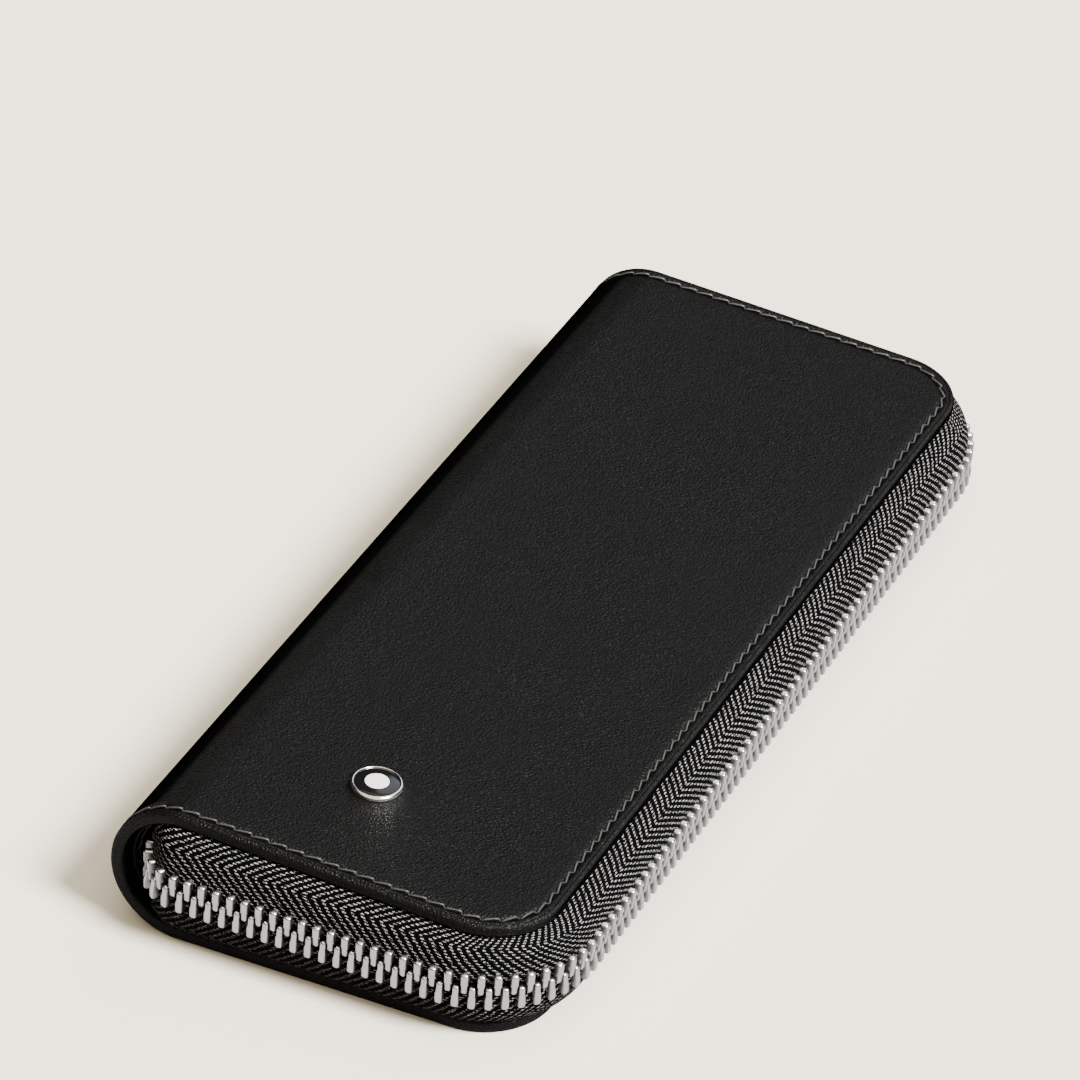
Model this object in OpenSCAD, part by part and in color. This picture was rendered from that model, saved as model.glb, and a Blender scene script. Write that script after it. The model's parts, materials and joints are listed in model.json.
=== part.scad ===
// Zip-around leather case for two fountain pens, lying closed on its back panel.
// Origin: centre of the back panel's outer face. +X from spine to opening side, +Y along the spine, +Z up.
// The front half is the back half mirrored across the plane of the zip, which leans towards the opening side.

/* [Case] */
// length of the leather along the spine
case_length = 166; // [150:1:180]
// width of the leather, spine to opening edge
case_width = 66; // [62:1:76]
// outer radius of the half-round spine
spine_r = 11.15; // [10.9:0.05:12]
// radius of the two outer corners of a panel
panel_corner_r = 11; // [8:0.5:12]
// lean of the zip's plane; the front panel leans twice as much
zip_lean = 1.75; // [0:0.25:2]

/* [Layers] */
// outer leather
leather_t = 1.1; // [0.9:0.1:1.3]
// leather backing behind it, which makes the rim
backing_t = 0.9; // [0.7:0.1:1.1]
// stiffener board in the middle of a panel
board_t = 0.4; // [0.3:0.1:0.5]
// lining
lining_t = 0.4; // [0.3:0.1:0.5]
// zip tape
tape_t = 0.5; // [0.4:0.1:0.6]

/* [Stitching] */
// stitch line to leather edge
stitch_inset = 1.9; // [1.6:0.1:2.2]
// stitch spacing
stitch_pitch = 3; // [2.5:0.1:4]
// length of one stitch
stitch_length = 2.3; // [1.6:0.1:2.4]
// groove the stitches lie in
groove_w = 0.9; // [0.7:0.1:1.1]

/* [Zip] */
// zip line beyond the leather at the two short ends
end_bulge = 2.6; // [2.2:0.1:3.2]
// zip line beyond the leather on the long side
side_bulge = 4; // [3:0.1:5]
// corner radius of the zip line
zip_corner_r = 17; // [15:0.5:20]
// radius of the zip's tucked-in end beside the spine
curl_r = 7; // [6.9:0.1:7.1]
// spacing of the teeth in one row
tooth_pitch = 2.3; // [2.3:0.05:2.6]
// one tooth, along the zip
tooth_l = 0.95; // [0.8:0.05:0.95]
// one tooth, through the zip
tooth_w = 2.2; // [1.8:0.1:2.2]
// width over both rows of teeth
chain_w = 6; // [5.6:0.1:6.2]

/* [Pen holders] */
// inner radius of a pen sleeve
sleeve_r = 6.9; // [6.3:0.1:7]
// length of a pen sleeve
sleeve_length = 78; // [60:1:85]
// width of an elastic pen loop, along the pen
loop_length = 11; // [8:1:14]
// sleeve centres from the middle of the case
sleeve_x = 11; // [10.8:0.1:11.4]

/* [Emblem] */
// outer diameter of the metal ring
emblem_d = 8.2; // [7:0.2:10]
// emblem centre from the near edge
emblem_from_edge = 21.4; // [18:0.2:40]

/* [Slider] */
// length of the slider
slider_l = 11; // [10:0.5:12]
// puller from its pivot to its end
puller_l = 24; // [18:1:26]

/* [Hidden] */
$fn = 96;
hair = 0.1;                                    // running gap between pieces of one body
half_l = case_length / 2;
half_w = case_width / 2;
spine_x = spine_r - half_w;                    // axis of the half-round spine
spine_z = spine_r;
corner_x = half_w - panel_corner_r;
corner_y = half_l - panel_corner_r;
rim_t = leather_t + backing_t;                 // thickness of the visible edge
lining_z = rim_t + board_t;                    // underside of the lining
floor_z = lining_z + lining_t;                 // inner face of the lining
hinge_at = 225;                                // angle on the spine where the back panel's hinge lies
split = 0.5;                                   // half the gap left at a hinge, degrees
front_hinge_at = 540 - 2 * zip_lean - hinge_at - 180; // the same place mirrored
lining_inset = 2.6;
board_inset = 9;
groove_d = 0.5;
thread_t = 0.4;
thread_w = 0.5;
stitch_r = panel_corner_r - stitch_inset;
stitch_x = half_w - stitch_inset;
stitch_y = half_l - stitch_inset;

zip_x = half_w + side_bulge;
zip_y = half_l + end_bulge;
zip_corner_x = zip_x - zip_corner_r;
zip_corner_y = zip_y - zip_corner_r;
curl_x = spine_x + 1.25;                       // where the straight part meets the tucked-in end
curl_y = curl_r - zip_y;
tail = 3;                                      // straight piece at the very end of the tucked part
last_tooth_x = spine_x + 5.45;
tape_gap = 1.6;                                // tape edge to the zip's mid plane
tooth_over = 0.55;                             // how far a tooth reaches past the mid plane
curl_tape_low = 5.4;                           // tucked tape reaches this far below the mid plane
quarter = PI / 2;
end_run = zip_corner_x - curl_x;
side_run = 2 * zip_corner_y;
s_curl = tail;
s_near = s_curl + quarter * curl_r;
s_corner = s_near + end_run;
s_side = s_corner + quarter * zip_corner_r;
s_corner2 = s_side + side_run;
s_far = s_corner2 + quarter * zip_corner_r;
s_end = s_far + zip_corner_x - last_tooth_x;
tooth_count = floor((s_end - tooth_l) / tooth_pitch);

stitch_end = corner_x - spine_x;
stitch_side = 2 * corner_y;
stitch_turn = quarter * stitch_r;
stitch_total = 2 * stitch_end + 2 * stitch_turn + stitch_side;
stitch_count = round(stitch_total / stitch_pitch);
stitch_step = stitch_total / stitch_count;

sleeve_wall = 0.9;
sleeve_side = 5.3;                             // straight height of a sleeve before its round top
sleeve_flange = 2.4;
sleeve_start = -half_l + 7;
loop_wall = 0.8;
loop_r = sleeve_r - 0.3;
loop_y = half_l - 40;

emblem_x = -1.4;
emblem_proud = 1.05;
ring_taper = 0.76;                             // how much narrower the ring is at its top
emblem_sink = 0.5;
ring_w = 0.66;
post_d = 2;
washer_d = 5;

slider_x = last_tooth_x + 2.9;                 // middle of the slider at rest
plate_gap = tooth_w / 2 + 0.25;
plate_t = 1.05;
plate_half = 4.2;
lip_t = 0.7;
lip_gap = 0.6;
post_x = -4.3;
post_l = 1.6;
post_w = 2;
pivot_x = -0.5;
pivot_y = plate_gap + plate_t + 0.95;
bail_w = 1.6;
bar_d = 1.2;
arm_in = 1.2;
arm_w = 1;
arm_t = 1.1;
tab_from = 4.2;
tab_w = 6.4;

// flat shapes

// outline of a panel's flat part, drawn in from the leather edge
module panel_2d(inset) {
    translate([spine_x, inset - half_l])
        square([corner_x - spine_x, case_length - 2 * inset]);
    translate([spine_x, -corner_y])
        square([half_w - inset - spine_x, 2 * corner_y]);
    for (side = [-1, 1])
        translate([corner_x, side * corner_y])
            circle(r = panel_corner_r - inset);
}

// area inside the zip line, grown by out
module zip_area_2d(out, left) {
    translate([left, -zip_y - out])
        square([zip_corner_x - left, 2 * (zip_y + out)]);
    translate([left, -zip_corner_y])
        square([zip_x + out - left, 2 * zip_corner_y]);
    for (side = [-1, 1])
        translate([zip_corner_x, side * zip_corner_y])
            circle(r = zip_corner_r + out);
}

// thin wall along the zip line on three sides
module zip_line_2d(t) {
    difference() {
        zip_area_2d(t / 2, curl_x);
        zip_area_2d(-t / 2, curl_x - 5);
    }
}

// thin wall along the tucked-in end
module curl_line_2d(t) {
    translate([curl_x, curl_y])
        intersection() {
            difference() {
                circle(r = curl_r + t / 2);
                circle(r = curl_r - t / 2);
            }
            translate([-curl_r - 2, -curl_r - 2])
                square([curl_r + 2.05, curl_r + 2.05]);
        }
    translate([curl_x - curl_r - t / 2, curl_y])
        square([t, tail]);
}

// part of a ring about the spine's axis, seen from the near end
module arc_2d(r_in, r_out, from, to) {
    reach = 3 * r_out;
    middle = (from + to) / 2;
    intersection() {
        difference() {
            circle(r = r_out);
            circle(r = r_in);
        }
        polygon([
            [0, 0],
            [reach * cos(from), reach * sin(from)],
            [reach * cos(middle), reach * sin(middle)],
            [reach * cos(to), reach * sin(to)]
        ]);
    }
}

// the same ring part as a solid along the spine
module arc(r_in, r_out, from, to, length) {
    translate([spine_x, length / 2, spine_z])
        rotate([90, 0, 0])
            linear_extrude(height = length)
                arc_2d(r_in, r_out, from, to);
}

// open-bottomed tunnel with sewn flanges
module tunnel_2d(r, wall, side) {
    difference() {
        union() {
            translate([0, side])
                circle(r = r + wall);
            translate([-r - wall, 0])
                square([2 * (r + wall), side]);
            translate([-r - wall - sleeve_flange, 0])
                square([2 * (r + wall + sleeve_flange), wall]);
        }
        translate([0, side])
            circle(r = r);
        translate([-r, -1])
            square([2 * r, side + 1]);
        translate([-2 * r, -2 * r])
            square([4 * r, 2 * r]);
    }
}

// places

// plane of the zip, origin on the spine's axis
module zip_plane() {
    translate([spine_x, 0, spine_z])
        rotate([0, zip_lean, 0])
            translate([-spine_x, 0, 0])
                children();
}

// turns anything made for the back half into the front half
module as_front() {
    translate([spine_x, 0, spine_z])
        mirror([sin(zip_lean), 0, cos(zip_lean)])
            translate([-spine_x, 0, -spine_z])
                children();
}

function turn_point(cx, cy, r, heading) =
    [cx + r * sin(heading), cy - r * cos(heading), heading];

// place and heading on the zip line, starting at its tucked-in end
function zip_point(s) =
    s < s_curl ? [curl_x - curl_r, curl_y + tail - s, -90] :
    s < s_near ? turn_point(curl_x, curl_y, curl_r, -90 + (s - s_curl) / curl_r * 180 / PI) :
    s < s_corner ? [curl_x + s - s_near, -zip_y, 0] :
    s < s_side ? turn_point(zip_corner_x, -zip_corner_y, zip_corner_r,
        (s - s_corner) / zip_corner_r * 180 / PI) :
    s < s_corner2 ? [zip_x, s - s_side - zip_corner_y, 90] :
    s < s_far ? turn_point(zip_corner_x, zip_corner_y, zip_corner_r,
        90 + (s - s_corner2) / zip_corner_r * 180 / PI) :
    [zip_corner_x - (s - s_far), zip_y, 180];

// place and heading on a panel's stitch line, starting at the spine's near end
function stitch_point(s) =
    s < stitch_end ? [spine_x + s, -stitch_y, 0] :
    s < stitch_end + stitch_turn ? turn_point(corner_x, -corner_y, stitch_r,
        (s - stitch_end) / stitch_r * 180 / PI) :
    s < stitch_end + stitch_turn + stitch_side ?
        [stitch_x, s - stitch_end - stitch_turn - corner_y, 90] :
    s < stitch_total - stitch_end ? turn_point(corner_x, corner_y, stitch_r,
        90 + (s - stitch_end - stitch_turn - stitch_side) / stitch_r * 180 / PI) :
    [corner_x - (s - stitch_total + stitch_end), stitch_y, 180];

module on_line(point) {
    translate([point[0], point[1], 0])
        rotate([0, 0, point[2]])
            children();
}

// leather, backing, board and lining of one half

module half_skin(z_low, z_high, inset, from_arc) {
    translate([0, 0, z_low])
        linear_extrude(height = z_high - z_low)
            panel_2d(inset);
    arc(spine_r - z_high, spine_r - from_arc, hinge_at + split, 270, case_length - 2 * inset);
}

module stitch_groove() {
    translate([0, 0, -1])
        linear_extrude(height = groove_d + 1)
            difference() {
                panel_2d(stitch_inset - groove_w / 2);
                translate([-20, 0])
                    panel_2d(stitch_inset + groove_w / 2);
                panel_2d(stitch_inset + groove_w / 2);
            }
}

module spine_groove(from, to) {
    for (side = [-1, 1])
        translate([0, side * stitch_y, 0])
            arc(spine_r - groove_d, spine_r + 1, from, to, groove_w);
}

module half_leather() {
    difference() {
        half_skin(0, leather_t, 0, 0);
        stitch_groove();
        spine_groove(hinge_at - 5, 270);
    }
}

module half_backing() {
    half_skin(leather_t, rim_t, 0, leather_t);
}

module half_board() {
    translate([0, 0, rim_t])
        linear_extrude(height = board_t)
            intersection() {
                panel_2d(board_inset);
                translate([spine_x + hair, -half_l])
                    square([case_width, case_length]);
            }
}

module half_lining() {
    half_skin(lining_z, floor_z, lining_inset, rim_t);
}

// stitches over the spine's two ends, between two angles
module spine_stitches(from, to) {
    count = round((to - from) * PI / 180 * spine_r / stitch_pitch);
    step = (to - from) / count;
    for (side = [-1, 1])
        for (i = [0:count - 1])
            translate([spine_x, side * stitch_y, spine_z])
                rotate([0, -(from + (i + 0.5) * step) - 90, 0])
                    translate([-stitch_length / 2, -thread_w / 2, -spine_r + groove_d - thread_t])
                        cube([stitch_length, thread_w, thread_t - 0.1]);
}

module half_thread() {
    for (i = [0:stitch_count - 1])
        on_line(stitch_point((i + 0.5) * stitch_step))
            translate([-stitch_length / 2, -thread_w / 2, groove_d - thread_t])
                cube([stitch_length, thread_w, thread_t]);
    spine_stitches(hinge_at + 2, 270);
}

// zip

module half_tape() {
    translate([0, 0, rim_t])
        linear_extrude(height = board_t)
            difference() {
                zip_area_2d(tape_t / 2, spine_x + hair);
                translate([-10, 0])
                    panel_2d(board_inset - hair);
                panel_2d(board_inset - hair);
            }
    difference() {
        zip_plane()
            translate([0, 0, -spine_r])
                linear_extrude(height = spine_r - tape_gap)
                    zip_line_2d(tape_t);
        translate([-case_width, -case_length, rim_t - 2 * spine_r])
            cube([3 * case_width, 2 * case_length, 2 * spine_r]);
    }
    zip_plane()
        translate([0, 0, -curl_tape_low])
            linear_extrude(height = curl_tape_low - tape_gap)
                curl_line_2d(tape_t);
}

// one row of teeth; start is the first tooth's place in pitches
module half_teeth(start) {
    zip_plane()
        for (i = [0:tooth_count - 1])
            on_line(zip_point(tooth_l + (i + start) * tooth_pitch))
                translate([-tooth_l / 2, -tooth_w / 2, -chain_w / 2])
                    cube([tooth_l, tooth_w, chain_w / 2 + tooth_over]);
}

module half_top_stop() {
    zip_plane()
        translate([last_tooth_x - 2.8, zip_y - tooth_w / 2, -3.3])
            cube([1.6, tooth_w, 2]);
}

module bottom_stop() {
    color("silver")
        zip_plane()
            translate([curl_x - curl_r - tooth_w / 2, curl_y + tail - 0.2, -chain_w / 2])
                cube([tooth_w, 1.8, chain_w / 2 + 0.9]);
}

module back_leather() {
    color("#26262a")
        half_leather();
}

module back_backing() {
    color("#2e2e32")
        half_backing();
}

module back_board() {
    color("#8a8478")
        half_board();
}

module back_lining() {
    color("#1c1c1f")
        half_lining();
}

module back_thread() {
    color("#55555c")
        half_thread();
}

module back_tape() {
    color("#3a3a3e")
        half_tape();
}

module back_teeth() {
    color("silver")
        half_teeth(0);
}

module back_top_stop() {
    color("silver")
        half_top_stop();
}

// pen holders on the back lining

module pen_sleeve(x) {
    color("#232326")
        translate([x, sleeve_start + sleeve_length, floor_z])
            rotate([90, 0, 0]) {
                linear_extrude(height = sleeve_length)
                    tunnel_2d(sleeve_r, sleeve_wall, sleeve_side);
                translate([0, 0, sleeve_length - sleeve_wall])
                    linear_extrude(height = sleeve_wall)
                        intersection() {
                            union() {
                                translate([0, sleeve_side])
                                    circle(r = sleeve_r + sleeve_wall / 2);
                                translate([-sleeve_r - sleeve_wall / 2, 0])
                                    square([2 * sleeve_r + sleeve_wall, sleeve_side]);
                            }
                            translate([-case_width, 0])
                                square([2 * case_width, case_width]);
                        }
            }
}

module pen_loop(x) {
    color("#303034")
        translate([x, loop_y + loop_length, floor_z])
            rotate([90, 0, 0])
                linear_extrude(height = loop_length)
                    tunnel_2d(loop_r, loop_wall, sleeve_side);
}

module pen_sleeve_left() {
    pen_sleeve(-sleeve_x);
}

module pen_sleeve_right() {
    pen_sleeve(sleeve_x);
}

module pen_loop_left() {
    pen_loop(-sleeve_x);
}

module pen_loop_right() {
    pen_loop(sleeve_x);
}

// spine, between the two hinges

module spine_leather() {
    color("#202024")
        difference() {
            arc(spine_r - leather_t, spine_r, front_hinge_at + split, hinge_at - split, case_length);
            spine_groove(front_hinge_at - 5, hinge_at + 5);
        }
}

module spine_backing() {
    color("#2e2e32")
        arc(spine_r - rim_t, spine_r - leather_t, front_hinge_at + split, hinge_at - split, case_length);
}

module spine_lining() {
    color("#1c1c1f")
        arc(spine_r - floor_z, spine_r - rim_t, front_hinge_at + split, hinge_at - split,
            case_length - 2 * lining_inset);
}

module spine_thread() {
    color("#55555c")
        spine_stitches(front_hinge_at + 2, hinge_at - 2);
}

// front half

module front_leather() {
    color("#26262a")
        as_front()
            difference() {
                half_leather();
                translate([emblem_x, emblem_from_edge - half_l, -1])
                    cylinder(d = emblem_d + 2 * hair, h = 1 + emblem_sink);
                translate([emblem_x, emblem_from_edge - half_l, -1])
                    cylinder(d = post_d + 2 * hair, h = 1 + rim_t);
            }
}

module front_backing() {
    color("#2e2e32")
        as_front()
            difference() {
                half_backing();
                translate([emblem_x, emblem_from_edge - half_l, 0])
                    cylinder(d = post_d + 2 * hair, h = rim_t + 1);
            }
}

module front_board() {
    color("#8a8478")
        as_front()
            difference() {
                half_board();
                translate([emblem_x, emblem_from_edge - half_l, rim_t - 1])
                    cylinder(d = washer_d + 4 * hair, h = board_t + 2);
            }
}

module front_lining() {
    color("#1c1c1f")
        as_front()
            half_lining();
}

module front_thread() {
    color("#55555c")
        as_front()
            half_thread();
}

module front_tape() {
    color("#3a3a3e")
        as_front()
            half_tape();
}

module front_teeth() {
    color("silver")
        as_front()
            half_teeth(0.5);
}

module front_top_stop() {
    color("silver")
        as_front()
            half_top_stop();
}

// emblem: ring round a plain dark disc, on a post with a washer behind

module on_emblem() {
    as_front()
        translate([emblem_x, emblem_from_edge - half_l, 0])
            children();
}

module emblem_ring() {
    color("silver")
        on_emblem()
            difference() {
                union() {
                    translate([0, 0, -emblem_proud])
                        cylinder(d1 = emblem_d - ring_taper, d2 = emblem_d, h = emblem_proud);
                    cylinder(d = emblem_d, h = emblem_sink);
                }
                translate([0, 0, -emblem_proud - 1])
                    cylinder(d = emblem_d - 2 * ring_w, h = emblem_proud + emblem_sink + 2);
            }
}

module emblem_disc() {
    color("#101012")
        on_emblem()
            translate([0, 0, 2 * hair - emblem_proud])
                cylinder(d = emblem_d - 2 * ring_w - hair, h = emblem_proud + emblem_sink - 2 * hair);
}

module emblem_post() {
    color("silver")
        on_emblem()
            translate([0, 0, emblem_sink])
                cylinder(d = post_d, h = rim_t - emblem_sink);
}

module emblem_washer() {
    color("silver")
        on_emblem()
            translate([0, 0, rim_t])
                cylinder(d = washer_d, h = board_t - hair);
}

// slider and puller, on the far short end

module on_slider() {
    zip_plane()
        translate([slider_x, zip_y, 0])
            children();
}

// face of a plate: wide where the rows come together
module plate_2d() {
    polygon([
        [-slider_l / 2 + 0.8, -plate_half],
        [0, -plate_half],
        [slider_l / 2 - 0.8, -plate_half + 0.9],
        [slider_l / 2, -plate_half + 1.9],
        [slider_l / 2, plate_half - 1.9],
        [slider_l / 2 - 0.8, plate_half - 0.9],
        [0, plate_half],
        [-slider_l / 2 + 0.8, plate_half],
        [-slider_l / 2, plate_half - 1],
        [-slider_l / 2, -plate_half + 1]
    ]);
}

module slider_body() {
    color("#c0c0c4")
        on_slider() {
            for (side = [0, 1])
                mirror([0, side, 0])
                    translate([0, plate_gap + plate_t, 0])
                        rotate([90, 0, 0])
                            linear_extrude(height = plate_t)
                                plate_2d();
            translate([post_x - post_l / 2, -plate_gap - 0.2, -post_w / 2])
                cube([post_l, 2 * plate_gap + 0.4, post_w]);
            for (side = [0, 1])
                mirror([0, side, 0])
                    translate([-slider_l / 2 + 1, lip_gap, -plate_half])
                        cube([slider_l / 2, plate_gap - lip_gap + 0.2, lip_t]);
        }
}

module slider_bail() {
    color("#c0c0c4")
        on_slider()
            translate([pivot_x, plate_gap + plate_t, -bail_w / 2])
                linear_extrude(height = bail_w)
                    difference() {
                        translate([-3.1, 0])
                            square([6.2, 3]);
                        translate([-1.9, -1])
                            square([3.8, 2.8]);
                    }
}

module puller_tab() {
    color("#c0c0c4")
        on_slider()
            translate([pivot_x, pivot_y, 0]) {
                translate([0, 0, -arm_in - arm_w])
                    cylinder(d = bar_d, h = 2 * (arm_in + arm_w));
                for (side = [0, 1])
                    mirror([0, 0, side])
                        translate([0, -arm_t / 2, arm_in])
                            cube([tab_from + 0.5, arm_t, arm_w]);
                translate([tab_from, -arm_t / 2, -tab_w / 2])
                    cube([puller_l - tab_from - tab_w / 2, arm_t, tab_w]);
                translate([puller_l - tab_w / 2, arm_t / 2, 0])
                    rotate([90, 0, 0])
                        cylinder(d = tab_w, h = arm_t);
            }
}

back_leather();
back_backing();
back_board();
back_lining();
back_thread();
back_tape();
back_teeth();
back_top_stop();
bottom_stop();
pen_sleeve_left();
pen_sleeve_right();
pen_loop_left();
pen_loop_right();
spine_leather();
spine_backing();
spine_lining();
spine_thread();
front_leather();
front_backing();
front_board();
front_lining();
front_thread();
front_tape();
front_teeth();
front_top_stop();
emblem_ring();
emblem_disc();
emblem_post();
emblem_washer();
slider_body();
slider_bail();
puller_tab();
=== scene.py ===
import json
import math
import bpy
from mathutils import Matrix, Vector


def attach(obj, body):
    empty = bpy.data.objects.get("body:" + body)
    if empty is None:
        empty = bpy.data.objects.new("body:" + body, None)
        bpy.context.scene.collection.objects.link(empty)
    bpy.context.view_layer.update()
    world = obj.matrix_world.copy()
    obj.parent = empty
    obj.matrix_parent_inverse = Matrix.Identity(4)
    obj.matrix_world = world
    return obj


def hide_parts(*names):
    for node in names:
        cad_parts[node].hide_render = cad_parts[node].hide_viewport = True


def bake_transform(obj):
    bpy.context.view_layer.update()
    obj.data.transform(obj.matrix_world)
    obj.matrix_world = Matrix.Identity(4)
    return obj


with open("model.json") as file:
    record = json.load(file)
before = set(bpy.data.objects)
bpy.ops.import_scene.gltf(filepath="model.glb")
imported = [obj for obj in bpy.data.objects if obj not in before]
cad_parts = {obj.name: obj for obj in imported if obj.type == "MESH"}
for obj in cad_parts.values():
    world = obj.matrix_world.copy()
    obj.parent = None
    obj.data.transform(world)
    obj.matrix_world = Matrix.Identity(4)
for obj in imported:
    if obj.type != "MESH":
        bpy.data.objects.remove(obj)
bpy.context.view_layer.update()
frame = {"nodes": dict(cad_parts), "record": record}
mm = 0.001
case = {
    "length": 166,
    "width": 66,
    "spineR": 11.15,
    "lean": math.radians(1.75),
    "cornerR": 11,
    "stitchInset": 1.9,
    "endBulge": 2.6,
    "sideBulge": 4.0,
    "zipCornerR": 17,
    "curlR": 7,
    "curlStart": 1.25,  # how far past the spine's middle the zip starts to curl in
    "tail": 3,
    "toothPitch": 2.3,
    "toothCount": 122,
}
halfL = case["length"] / 2
halfW = case["width"] / 2
spineX = case["spineR"] - halfW
spineZ = case["spineR"]
zipX = halfW + case["sideBulge"]
zipY = halfL + case["endBulge"]
backHinge = math.radians(225)
halfArc = math.radians(270) - (math.pi - case["lean"])  # a half's share of the spine
arcLength = case["spineR"] * halfArc
flatEnd = halfW - case["cornerR"] - spineX + arcLength  # unrolled place of the corners' centres
cornerY = halfL - case["cornerR"]
zipNormal = Vector((math.sin(case["lean"]), 0, math.cos(case["lean"])))
quarter = math.pi / 2
curlX = spineX + case["curlStart"]
cornerX = halfW - case["cornerR"]
zipCornerX = zipX - case["zipCornerR"]
zipCornerY = zipY - case["zipCornerR"]
meshStep = {"spine": 0.55, "flat": 2.2, "side": 2.4, "corner": 0.09, "tape": 0.9, "holder": 1.5}


def mirrored(p):
    # the same point on the front half: mirrored across the plane of the zip
    c = Vector((spineX, 0, spineZ))
    return p - 2 * (p - c).dot(zipNormal) * zipNormal


def same(p):
    return p


def halfName(kind, front):
    return kind + ("Front" if front else "Back")


def bodyName(front):
    return "front" if front else "back"


def unrolled(u, y, h):
    # a point of the back half of the cover: u runs from the middle of the spine, h inwards
    if u >= arcLength:
        return Vector((spineX + u - arcLength, y, h))
    a = math.pi - case["lean"] + u / case["spineR"]
    r = case["spineR"] - h
    return Vector((spineX + r * math.cos(a), y, spineZ + r * math.sin(a)))


def onZipPlane(x, y, w):
    # w stands square to the plane of the zip
    u, a = x - spineX, case["lean"]
    return Vector(
        (spineX + u * math.cos(a) + w * math.sin(a), y, spineZ - u * math.sin(a) + w * math.cos(a))
    )


def turned(cx, cy, r, heading):
    return (cx + r * math.sin(heading), cy - r * math.cos(heading), heading)


def zipPoint(s):
    # place and heading on the zip line, starting at its tucked-in end
    curlR, r, tail = case["curlR"], case["zipCornerR"], case["tail"]
    curlY = curlR - zipY
    straight = zipCornerX - curlX
    parts = [
        (tail, lambda t: (curlX - curlR, curlY + tail - t, -quarter)),
        (quarter * curlR, lambda t: turned(curlX, curlY, curlR, t / curlR - quarter)),
        (straight, lambda t: (curlX + t, -zipY, 0)),
        (quarter * r, lambda t: turned(zipCornerX, -zipCornerY, r, t / r)),
        (2 * zipCornerY, lambda t: (zipX, t - zipCornerY, quarter)),
        (quarter * r, lambda t: turned(zipCornerX, zipCornerY, r, quarter + t / r)),
        (straight, lambda t: (zipCornerX - t, zipY, 2 * quarter)),
    ]
    for length, at in parts[:-1]:
        if s < length:
            return at(s)
        s -= length
    return parts[-1][1](s)


def samples(start, end, step):
    count = max(1, round(abs(end - start) / step))
    return [start + (end - start) * i / count for i in range(count + 1)]


def deselect():
    if bpy.context.mode != "OBJECT":
        bpy.ops.object.mode_set(mode="OBJECT")
    bpy.ops.object.select_all(action="DESELECT")


def activate(obj):
    deselect()
    obj.select_set(True)
    bpy.context.view_layer.objects.active = obj
    return obj


def inEditMode(obj):
    activate(obj)
    bpy.ops.object.mode_set(mode="EDIT")
    bpy.ops.mesh.select_all(action="SELECT")


def applied(obj, kind, **values):
    # adds a modifier, sets its values and applies it
    activate(obj)
    modifier = obj.modifiers.new(kind.title(), kind)
    for key, value in values.items():
        setattr(modifier, key, value)
    bpy.ops.object.modifier_apply(modifier=modifier.name)
    return obj


def rounded(obj, width, segments, angle=50):
    limit = math.radians(angle)
    return applied(obj, "BEVEL", width=width * mm, segments=segments, limit_method="ANGLE", angle_limit=limit)


def loft(name, rows, columns, place):
    # a grid of rows by columns, shaped by place(row, column) -> (point in mm, (u, v) in mm)
    deselect()
    bpy.ops.mesh.primitive_grid_add(x_subdivisions=rows - 1, y_subdivisions=columns - 1, size=2)
    obj = bpy.context.active_object
    obj.name = obj.data.name = name
    mesh = obj.data
    index, points = [], {}
    for v in mesh.vertices:
        i = round((v.co.x + 1) / 2 * (rows - 1))
        j = round((v.co.y + 1) / 2 * (columns - 1))
        index.append((i, j))
        points[i, j] = place(i, j)
        v.co = points[i, j][0] * mm
    layer = mesh.uv_layers.active
    for loop in mesh.loops:
        u, v = points[index[loop.vertex_index]][1]
        layer.data[loop.index].uv = (u * mm, v * mm)
    column = mesh.attributes.new("column", "INT", "FACE")  # tells later which faces lie where across the grid
    for face in mesh.polygons:
        column.data[face.index].value = min(index[v][1] for v in face.vertices)
    return obj


def paintColumns(obj, columns):
    # the first columns of a loft take its second material
    column = obj.data.attributes["column"].data
    for face in obj.data.polygons:
        face.material_index = 1 if column[face.index].value < columns else 0


def tidied(obj, merge=0.00002, outward=None):
    # merges doubles and turns the faces outwards, or the way that outward says
    inEditMode(obj)
    bpy.ops.mesh.remove_doubles(threshold=merge)
    bpy.ops.mesh.normals_make_consistent(inside=False)
    bpy.ops.object.mode_set(mode="OBJECT")
    if outward is not None:
        total = sum(f.normal.dot(outward(f.center)) * f.area for f in obj.data.polygons)
        if total < 0:
            flipped(obj)
    return smooth(obj)


def flipped(obj):
    inEditMode(obj)
    bpy.ops.mesh.flip_normals()
    bpy.ops.object.mode_set(mode="OBJECT")
    return obj


def smooth(obj, angle=50):
    activate(obj)
    bpy.ops.object.shade_smooth_by_angle(angle=math.radians(angle))
    return obj


def joined(name, objs):
    deselect()
    for o in objs:
        o.select_set(True)
    bpy.context.view_layer.objects.active = objs[0]
    bpy.ops.object.join()
    obj = bpy.context.active_object
    obj.name = obj.data.name = name
    return obj


def copyOf(obj):
    new = obj.copy()
    new.data = obj.data.copy()
    bpy.context.collection.objects.link(new)
    return new


def handOver(piece, nodes, slot, body=None):
    # hides the nodes that a piece stands for and attaches the piece to its body; slot is not used
    if nodes:
        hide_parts(*nodes)
    if body:
        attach(piece, body)


def dress(obj, *materials):
    if obj.data.materials:  # clearing an empty list would still reset the faces
        obj.data.materials.clear()
    for m in materials:
        obj.data.materials.append(m)


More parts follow.
